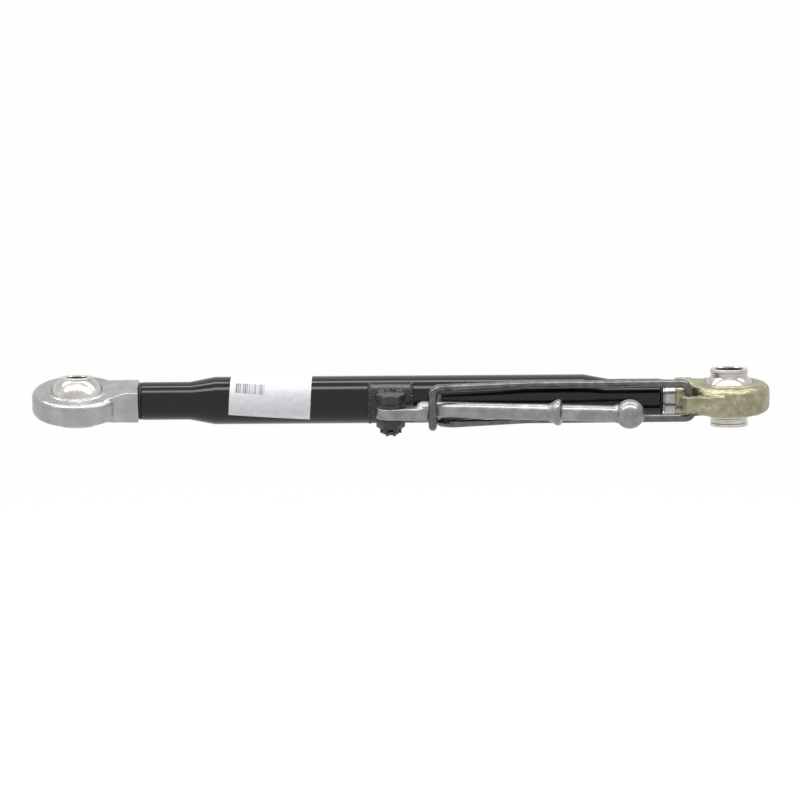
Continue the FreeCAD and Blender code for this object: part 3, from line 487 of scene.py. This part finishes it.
def thread_tree():
    """A screw: a grid wrapped into a cylinder whose radius follows the thread's flank."""
    tree, given = new_tree("rolled_thread", [
        ("Radius", "NodeSocketFloat", None), ("Depth", "NodeSocketFloat", None),
        ("Pitch", "NodeSocketFloat", None), ("Start", "NodeSocketFloat", None),
        ("Length", "NodeSocketFloat", None), ("Hand", "NodeSocketFloat", None),
        ("Rows", "NodeSocketInt", None), ("Around", "NodeSocketInt", None),
        ("Material", "NodeSocketMaterial", None)])
    grid = add(tree, "GeometryNodeMeshGrid", {
        "Size X": given["Length"], "Size Y": 2 * math.pi,
        "Vertices X": given["Rows"], "Vertices Y": given["Around"]})
    spot = add(tree, "ShaderNodeSeparateXYZ", {
        0: add(tree, "GeometryNodeInputPosition").outputs[0]})
    half = math_node(tree, "MULTIPLY", given["Length"], 0.5)
    along = math_node(tree, "ADD", spot.outputs["X"], half)
    angle = spot.outputs["Y"]
    turns = math_node(tree, "MULTIPLY", math_node(tree, "DIVIDE", angle, 2 * math.pi),
                      given["Hand"])
    phase = math_node(tree, "FRACT", math_node(
        tree, "SUBTRACT", math_node(tree, "DIVIDE", along, given["Pitch"]), turns))
    # height over the root: 0 in the root, 1 on the crest, with flanks between
    wave = math_node(tree, "ABSOLUTE", math_node(
        tree, "SUBTRACT", math_node(tree, "MULTIPLY", phase, 2.0), 1.0))
    flank = add(tree, "ShaderNodeMapRange", {
        "Value": wave, "From Min": 0.16, "From Max": 0.84, "To Min": 0.0, "To Max": 1.0})
    sunk = math_node(tree, "MULTIPLY", flank.outputs["Result"], given["Depth"])
    crest = math_node(tree, "SUBTRACT", given["Radius"], sunk)
    # both ends run out to a chamfer and a flat end
    from_end = math_node(tree, "SUBTRACT", half, math_node(tree, "ABSOLUTE", spot.outputs["X"]))
    chamfer = math_node(tree, "ADD", from_end, math_node(
        tree, "SUBTRACT", given["Radius"], math_node(tree, "MULTIPLY", given["Depth"], 1.3)))
    bound = math_node(tree, "MINIMUM", crest, chamfer)
    inside = math_node(tree, "GREATER_THAN", from_end, 1e-6)
    radius = math_node(tree, "MULTIPLY", bound, inside)
    place = add(tree, "ShaderNodeCombineXYZ", {
        "X": math_node(tree, "ADD", along, given["Start"]),
        "Y": math_node(tree, "MULTIPLY", radius, math_node(tree, "COSINE", angle)),
        "Z": math_node(tree, "MULTIPLY", radius, math_node(tree, "SINE", angle))})
    moved = add(tree, "GeometryNodeSetPosition", {
        "Geometry": grid.outputs["Mesh"], "Position": place.outputs[0]})
    welded = add(tree, "GeometryNodeMergeByDistance", {
        "Geometry": moved.outputs[0], "Distance": 1e-6})
    shaded = add(tree, "GeometryNodeSetShadeSmooth", {0: welded.outputs[0]})
    close_tree(tree, shaded.outputs[0], given["Material"])
    return tree


def wire_tree():
    """Bent wire: straight runs through the points, rounded at every bend."""
    tree, given = new_tree("bent_wire", [
        ("Path", "NodeSocketObject", None), ("Wire radius", "NodeSocketFloat", None),
        ("Bend radius", "NodeSocketFloat", None), ("Material", "NodeSocketMaterial", None)])
    path = add(tree, "GeometryNodeObjectInfo", {"Object": given["Path"]})
    line = add(tree, "GeometryNodeMeshToCurve", {"Mesh": path.outputs["Geometry"]})
    bends = add(tree, "GeometryNodeFilletCurve", {
        "Curve": line.outputs[0], "Radius": given["Bend radius"], "Count": 12},
        mode="POLY")
    ring = add(tree, "GeometryNodeCurvePrimitiveCircle", {
        "Resolution": 32, "Radius": given["Wire radius"]})
    tube = add(tree, "GeometryNodeCurveToMesh", {
        "Curve": bends.outputs[0], "Profile Curve": ring.outputs[0], "Fill Caps": True})
    close_tree(tree, tube.outputs[0], given["Material"])
    return tree


def weld_tree():
    """A run of weld: overlapping ripples, each a flattened lump, along a path."""
    tree, given = new_tree("weld_ripples", [
        ("Path", "NodeSocketObject", None), ("Pitch", "NodeSocketFloat", None),
        ("Lump radius", "NodeSocketFloat", None), ("Flatness", "NodeSocketFloat", None),
        ("Seed", "NodeSocketInt", None), ("Material", "NodeSocketMaterial", None)])
    path = add(tree, "GeometryNodeObjectInfo", {"Object": given["Path"]})
    line = add(tree, "GeometryNodeMeshToCurve", {"Mesh": path.outputs["Geometry"]})
    spots = add(tree, "GeometryNodeCurveToPoints", {
        "Curve": line.outputs[0], "Length": given["Pitch"]}, mode="LENGTH")
    lump = add(tree, "GeometryNodeMeshIcoSphere", {
        "Radius": given["Lump radius"], "Subdivisions": 3})
    size = add(tree, "FunctionNodeRandomValue", {
        "Min": (0.6, 0.6, 0.6), "Max": (1.35, 1.3, 1.2), "Seed": given["Seed"]},
        data_type="FLOAT_VECTOR")
    flat = add(tree, "ShaderNodeCombineXYZ", {"X": given["Flatness"], "Y": 1.0, "Z": 1.0})
    scale = add(tree, "ShaderNodeVectorMath", {
        0: size.outputs["Value"], 1: flat.outputs[0]}, operation="MULTIPLY")
    placed = add(tree, "GeometryNodeInstanceOnPoints", {
        "Points": spots.outputs["Points"], "Instance": lump.outputs["Mesh"],
        "Scale": scale.outputs[0]})
    close_tree(tree, placed.outputs[0], given["Material"])
    return tree


def path_object(name, points):
    """A polyline through points in mm, for a tree to follow."""
    mesh = bpy.data.meshes.new(name)
    mesh.from_pydata([Vector(p) * MM for p in points],
                     [(i, i + 1) for i in range(len(points) - 1)], [])
    return link(name, mesh)


def discard(thing):
    mesh = thing.data
    bpy.data.objects.remove(thing)
    bpy.data.meshes.remove(mesh)


# ---------------------------------------------------------------- barrel
def build_barrel():
    """Drawn tube with its ends swaged down and threaded inside."""
    outline = rounded_outline([
        (BARREL_START, MOUTH_RADIUS, MOUTH_EDGE), (LEFT_TAPER, MOUTH_RADIUS, TAPER_BLEND),
        (LEFT_TAPER + TAPER_LENGTH, TUBE_RADIUS, TAPER_BLEND),
        (RIGHT_TAPER - TAPER_LENGTH, TUBE_RADIUS, TAPER_BLEND),
        (RIGHT_TAPER, MOUTH_RADIUS, TAPER_BLEND), (BARREL_END, MOUTH_RADIUS, MOUTH_EDGE),
        (BARREL_END, BORE_RADIUS), (RIGHT_TAPER, BORE_RADIUS),
        (RIGHT_TAPER - TAPER_LENGTH, TUBE_BORE), (LEFT_TAPER + TAPER_LENGTH, TUBE_BORE),
        (LEFT_TAPER, BORE_RADIUS), (BARREL_START, BORE_RADIUS)], steps=6)
    tube = lathe("barrel_tube", outline, segments=160)
    dress(tube, "barrel", "barrel_paint", BARREL_PAINT, "barrel")


def build_label():
    """Label wrapped round the tube, a little askew, with lifted corners."""
    start, length = LABEL_START, LABEL_LENGTH
    low, high = -38.0, 102.0
    skew = math.tan(math.radians(5))
    columns, rows = 40, 70
    arc_length = math.radians(high - low) * TUBE_RADIUS
    mesh = bpy.data.meshes.new("label_sheet")
    bm = bmesh.new()
    uv = bm.loops.layers.uv.new("wrap")
    grid = []
    for row in range(rows + 1):
        line = []
        for column in range(columns + 1):
            across = column / columns * length
            up = row / rows * arc_length
            along = start + 1.5 + across * 0.985 + (up - arc_length / 2) * skew * 0.6
            angle = math.radians(low) + (up - (across - length / 2) * skew) / TUBE_RADIUS
            edge = min(across, length - across, up, arc_length - up)
            out = TUBE_RADIUS + 0.12 + 0.1 * max(0.0, 1 - edge / 1.5)
            spot = Vector((along, -out * math.cos(angle), out * math.sin(angle))) * MM
            line.append((bm.verts.new(spot), (across, up)))
        grid.append(line)
    for row in range(rows):
        for column in range(columns):
            corners = [grid[row][column], grid[row][column + 1],
                       grid[row + 1][column + 1], grid[row + 1][column]]
            face = bm.faces.new([corner[0] for corner in corners])
            for loop, corner in zip(face.loops, corners):
                loop[uv].uv = corner[1]
    bm.to_mesh(mesh)
    bm.free()
    sheet = link("label_sheet", mesh)
    thick = sheet.modifiers.new("paper", "SOLIDIFY")
    thick.thickness = 0.1 * MM
    thick.offset = -1
    apply_all(sheet)
    smooth(sheet.data, 50)
    dress(sheet, "barrel", "label_paper", LABEL_PAPER, "label")


def build_seals():
    """Rubber wiper rings with a rounded lip."""
    seals = (("left_wiper", 55.3, "left_seal"), ("right_wiper", 518.6, "barrel"))
    for name, start, body in seals:
        outline = rounded_outline([
            (start, SEAL_RADIUS, 0.6), (start + 2.1, SEAL_RADIUS, 0.6),
            (start + 2.1, BORE_RADIUS + 0.02), (start, BORE_RADIUS + 0.02)])
        ring = lathe(name, outline)
        node = name.replace("wiper", "dust_seal")
        dress(ring, body, "seal_rubber", RUBBER, node)


def build_screws():
    """Left-hand and right-hand screws with a rolled 3 mm thread."""
    tree = thread_tree()
    pitch, depth = THREAD_PITCH, THREAD_DEPTH
    inner = BARREL_START + SCREW_DEPTH
    length = inner - LEFT_SHOULDER
    left = bake(tree, "left_threaded_rod", {
        "Radius": THREAD_RADIUS * MM, "Depth": depth * MM, "Pitch": pitch * MM,
        "Start": LEFT_SHOULDER * MM, "Length": length * MM, "Hand": -1.0,
        "Rows": int(length / pitch * 8) + 1, "Around": 73, "Material": THREAD_STEEL})
    smooth(left.data, 50)
    dress(left, "left_end", "screw_steel", THREAD_STEEL, "left_screw")

    inner = BARREL_END - SCREW_DEPTH
    neck_start = RIGHT_SHOULDER - NECK_LENGTH
    length = neck_start - inner
    right = bake(tree, "right_threaded_rod", {
        "Radius": THREAD_RADIUS * MM, "Depth": depth * MM, "Pitch": pitch * MM,
        "Start": inner * MM, "Length": length * MM, "Hand": 1.0,
        "Rows": int(length / pitch * 8) + 1, "Around": 73, "Material": THREAD_STEEL})
    smooth(right.data, 50)
    dress(right, "right_end", "screw_steel", THREAD_STEEL)
    outline = rounded_outline([
        (neck_start - 1, 0), (neck_start - 1, 12.5), (neck_start, 12.5),
        (neck_start, NECK_RADIUS, 0.8), (RIGHT_SHOULDER, NECK_RADIUS), (RIGHT_SHOULDER, 0)])
    neck = lathe("right_screw_neck", outline, closed=False)
    dress(neck, "right_end", "screw_steel", THREAD_STEEL, "right_screw")
    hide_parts("right_screw")


# ---------------------------------------------------------------- eyes and balls
def build_eyes():
    """Forged eyes: the left one brushed and even, the right one scaly."""
    left = forged("left_eye", "left_forging", 0.0, FORGING_VOXEL, 6, 0.12, 7.0)
    dress(left, "left_end", "left_eye_zinc", LEFT_ZINC, "left_eye")
    right = forged("right_eye", "right_forging", BALL_PITCH, FORGING_VOXEL, 6, 0.3, 6.0)
    dress(right, "right_end", "right_eye_zinc", RIGHT_ZINC, "right_eye")


def build_ball(name, node, body, centre_x, width, collar, bore):
    """Turned ball: spherical zone, flat-faced collars with a lip, and a pin bore."""
    half = width / 2
    level = math.acos(collar / BALL_RADIUS)
    zone = []
    steps = 40
    for step in range(steps + 1):
        angle = -level + 2 * level * step / steps
        zone.append((BALL_RADIUS * math.sin(angle), BALL_RADIUS * math.cos(angle)))
    low, high = zone[0][0], zone[-1][0]
    groove = 0.5
    outline = [
        (-half, collar - 0.3, 0.5), (-half + 2.6, collar, 0.3), (-half + 3.2, collar - groove)]
    outline += [(low - 0.3, collar - groove)] + zone + [(high + 0.3, collar - groove)]
    outline += [
        (half - 3.2, collar - groove), (half - 2.6, collar, 0.3), (half, collar - 0.3, 0.5)]
    outline += [
        (half, bore + 0.8), (half - 0.8, bore), (-half + 0.8, bore), (-half, bore + 0.8)]
    upright = Matrix.Translation((centre_x * MM, 0, 0)) @ Matrix.Rotation(-math.pi / 2, 4, "Y")
    ball = lathe(name, rounded_outline(outline, 3), upright, segments=128, crisp=30)
    dress(ball, body, "ball_steel", BALL_STEEL, node)


# ---------------------------------------------------------------- lever pivot
def build_pivot():
    """Saddle plate, its welds, and the bolt, washer, nut and split pin."""
    plate = crisp("pivot_saddle", "saddle_plate", 0.5)
    dress(plate, "barrel", "pivot_paint", PIVOT_PAINT, "pivot_saddle")
    bolt = crisp("pivot_bolt", "hex_bolt", 0.35)
    dress(bolt, "barrel", "bolt_steel", BOLT_BLACK, "pivot_bolt")
    washer = crisp("upper_washer", "plain_washer", 0.3)
    dress(washer, "barrel", "bolt_steel", BOLT_BLACK, "upper_washer")
    nut = crisp("castle_nut", "slotted_nut", 0.3)
    dress(nut, "barrel", "bolt_steel", BOLT_BLACK, "castle_nut")

    tree = weld_tree()
    roll = Matrix.Rotation(LEVER_ROLL, 3, "X")
    for number, x in enumerate(SADDLE_ENDS):
        points = []
        for step in range(25):
            angle = math.radians(180 - SADDLE_ANGLE / 2 + SADDLE_ANGLE * step / 24)
            out = TUBE_RADIUS + 1.0
            points.append(roll @ Vector((x, out * math.cos(angle), out * math.sin(angle))))
        path = path_object("ripple_path", points)
        run = bake(tree, "saddle_bead_%d" % number, {
            "Path": path, "Pitch": 1.7 * MM, "Lump radius": 1.9 * MM, "Flatness": 1.0,
            "Seed": 3 + number, "Material": PIVOT_PAINT})
        discard(path)
        smooth(run.data, 60)
        dress(run, "barrel", "pivot_paint", PIVOT_PAINT, "saddle_welds")
    low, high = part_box("head_weld")
    middle = (low + high) / 2 / MM
    steps = 8
    first, last = low.x / MM + 3, high.x / MM - 3
    points = []
    for step in range(steps + 1):
        across = first + (last - first) * step / steps
        points.append(Vector((across, middle.y, middle.z + (2.4 if step % 2 else -1.4))))
    path = path_object("ripple_path", points)
    head = bake(tree, "bolt_head_bead", {
        "Path": path, "Pitch": 2.7 * MM, "Lump radius": 3.8 * MM, "Flatness": 0.9,
        "Seed": 11, "Material": PIVOT_PAINT})
    discard(path)
    smooth(head.data, 60)
    dress(head, "barrel", "pivot_paint", PIVOT_PAINT, "head_weld")

    # split pin from front to back: eye behind the nut, both legs turned out in front
    level, reach, drop = PIN_LEVEL, 11.0, 2.4
    local = [
        (-4.0, -reach - 1.0, level - drop), (-0.7, -reach, level), (-0.7, reach, level),
        (-3.0, reach + 3.0, level), (0.0, reach + 6.2, level), (3.0, reach + 3.0, level),
        (0.7, reach, level), (0.7, -reach, level), (4.0, -reach - 1.0, level - drop)]
    path = path_object(
        "pin_path", [(PIVOT_FRAME @ (Vector(spot) * MM)) / MM for spot in local])
    pin = bake(wire_tree(), "bent_split_pin", {
        "Path": path, "Wire radius": PIN_RADIUS * MM, "Bend radius": PIN_BEND * MM,
        "Material": BOLT_BLACK})
    discard(path)
    smooth(pin.data, 50)
    dress(pin, "barrel", "bolt_steel", BOLT_BLACK, "split_pin")


# ---------------------------------------------------------------- lever and wire lock
def build_lever():
    """Forged lever, its flat running into the round bar, with ball knob and stop collar."""
    bar = merged_copy("lever_arm", "lever_forging")
    skin = bar.modifiers.new("skin", "REMESH")
    skin.mode = "VOXEL"
    skin.voxel_size = FORGING_VOXEL * MM
    roll = bar.modifiers.new("roll", "SMOOTH")
    roll.factor = 0.5
    roll.iterations = 24
    apply_all(bar)
    smooth(bar.data, 60)
    dress(bar, "lever", "lever_zinc", LEVER_ZINC, "lever_arm")
    steps = 40
    knob = [(197.5, 0), (197.5, BAR_SEAT), (201.0, 8.4)]
    for step in range(steps + 1):
        angle = math.radians(140) * (1 - step / steps)
        knob.append((KNOB_DISTANCE + KNOB_RADIUS * math.cos(angle),
                     KNOB_RADIUS * math.sin(angle)))
    ball = lathe("ball_knob", knob, LEVER_FRAME, segments=96, closed=False, crisp=30)
    dress(ball, "lever", "lever_zinc", LEVER_ZINC, "lever_knob")
    collar = rounded_outline([
        (140, BAR_SEAT), (142.9, 8.7, 2), (145.9, 10.6, 2), (148.0, 11.6, 1.2), (150.1, 11.6, 0.8),
        (151.3, 10.8, 0.6), (152.0, 8.7, 0.5), (153, BAR_SEAT)])
    stop = lathe("stop_ring", collar, LEVER_FRAME, segments=96)
    dress(stop, "lever", "lever_zinc", LEVER_ZINC, "stop_collar")


def build_wire_lock():
    """Bent wire that grips the lever and drops behind the right eye's horn."""
    pivot_x, pivot_y = PIVOT
    half, skew = 15.2, 2.5
    slope = math.tan(LEVER_ANGLE)
    horn = BALL_PITCH - HORN_REACH + HOLD_DEPTH
    channel, leg = -22.75, -25.5
    front, rear, turn = 37.0, 42.0, 53.0
    front_y = pivot_y - front * slope - 13.2
    rear_y = pivot_y - rear * slope + 17.3
    turn_y = (leg + pivot_y - turn * slope) / 2 - 8
    knee = pivot_x + 121
    points = [
        (pivot_x + front, front_y + 10, -18), (pivot_x + front, front_y, -18),
        (pivot_x + front, front_y, half + 1), (pivot_x + turn, turn_y, half),
        (knee, leg, half), (horn - skew, channel, half), (horn + skew, channel, -half),
        (knee, leg, -half), (pivot_x + turn, turn_y, -half - 1),
        (pivot_x + rear, rear_y - 1, -half - 2), (pivot_x + rear, rear_y, 8)]
    path = path_object("wire_path", points)
    wire = bake(wire_tree(), "lock_wire", {
        "Path": path, "Wire radius": WIRE_RADIUS * MM, "Bend radius": WIRE_BEND * MM,
        "Material": WIRE_ZINC})
    discard(path)
    smooth(wire.data, 50)
    dress(wire, "bail", "wire_zinc", WIRE_ZINC, "bail")


build_barrel()
build_label()
build_seals()
build_screws()
build_eyes()
build_ball("left_swivel_ball", "left_ball", "left_ball", 0.0, 44.0, 15.5, 9.7)
build_ball("right_swivel_ball", "right_ball", "right_ball", BALL_PITCH, 51.0, 17.0, 12.85)
build_pivot()
build_lever()
build_wire_lock()


# ---------------------------------------------------------------- studio
WORLD_FILL = 0.3
FLOOR_LEVEL = -0.30
FLOOR_REACH = 30.0
FLOOR_GLOW = 1.06
GLOW_SHARE = 0.9
LAMP_X = 0.285
LAMP_HEIGHT = 0.9
LAMP_LENGTH = 2.2
CAMERA_TARGET = Vector((0.2873, 0, -0.0007))
CAMERA_RISE = math.radians(7.5)
CAMERA_ROLL = math.radians(-0.41)
CAMERA_DISTANCE = 5.0
CAMERA_LENS = 252.9
SENSOR_WIDTH = 36


def seen_rays(tree):
    """1 for camera, mirror and glass rays, else 0."""
    path = add(tree, "ShaderNodeLightPath")
    return math_node(tree, "MAXIMUM", path.outputs["Is Camera Ray"],
                     math_node(tree, "MAXIMUM", path.outputs["Is Glossy Ray"],
                               path.outputs["Is Transmission Ray"]))


def build_studio():
    world = bpy.data.worlds.new("studio_world")
    bpy.context.scene.world = world
    world.use_nodes = True
    tree = world.node_tree
    strength = add(tree, "ShaderNodeMapRange", {
        "Value": seen_rays(tree), "To Min": WORLD_FILL, "To Max": 1.0})
    tree.nodes["Background"].inputs["Color"].default_value = (1, 1, 1, 1)
    tree.links.new(
        strength.outputs["Result"], tree.nodes["Background"].inputs["Strength"])

    # matt white floor well below the part, nearly even white with a faint shadow
    mesh = bpy.data.meshes.new("floor")
    level, reach = FLOOR_LEVEL, FLOOR_REACH
    corners = [(-reach, -reach, level), (reach, -reach, level),
               (reach, reach, level), (-reach, reach, level)]
    mesh.from_pydata(corners, [], [(0, 1, 2, 3)])
    floor = link("floor", mesh)
    paint, tree, shader = new_material("matt_white_floor")
    shader.inputs["Base Color"].default_value = linear("#f4f4f4")
    shader.inputs["Roughness"].default_value = 0.9
    glow = add(tree, "ShaderNodeEmission", {"Color": (1, 1, 1, 1), "Strength": FLOOR_GLOW})
    share = math_node(tree, "MULTIPLY", seen_rays(tree), GLOW_SHARE)
    mixed = add(tree, "ShaderNodeMixShader", {
        0: share, 1: shader.outputs[0], 2: glow.outputs[0]})
    tree.links.new(mixed.outputs[0], tree.nodes["Material Output"].inputs["Surface"])
    floor.data.materials.append(paint)


def soft_box(name, y, width, watts):
    """A long rectangular soft box over the part, facing straight down."""
    lamp = bpy.data.lights.new(name, "AREA")
    lamp.shape = "RECTANGLE"
    lamp.size, lamp.size_y = LAMP_LENGTH, width
    lamp.energy = watts
    thing = bpy.data.objects.new(name, lamp)
    bpy.context.scene.collection.objects.link(thing)
    thing.location = (LAMP_X, y, LAMP_HEIGHT)
    aim = Vector((0, 0, -LAMP_HEIGHT))
    thing.rotation_euler = aim.to_track_quat("-Z", "Y").to_euler()


def build_camera():
    """Long lens a little above the part, square to it and rolled a touch."""
    away = Vector((0, -math.cos(CAMERA_RISE), math.sin(CAMERA_RISE)))
    lens = bpy.data.cameras.new("camera")
    lens.lens = CAMERA_LENS
    lens.sensor_width = SENSOR_WIDTH
    camera = bpy.data.objects.new("camera", lens)
    bpy.context.scene.collection.objects.link(camera)
    camera.location = CAMERA_TARGET + away * CAMERA_DISTANCE
    facing = (-away).to_track_quat("-Z", "Y").to_matrix()
    camera.rotation_euler = (facing @ Matrix.Rotation(CAMERA_ROLL, 3, "Z")).to_euler()
    bpy.context.scene.camera = camera


build_studio()
soft_box("overhead_front", -0.40, 0.26, 11)
soft_box("overhead_back", 0.21, 0.16, 6.5)
build_camera()
bpy.context.scene.view_settings.view_transform = "Standard"
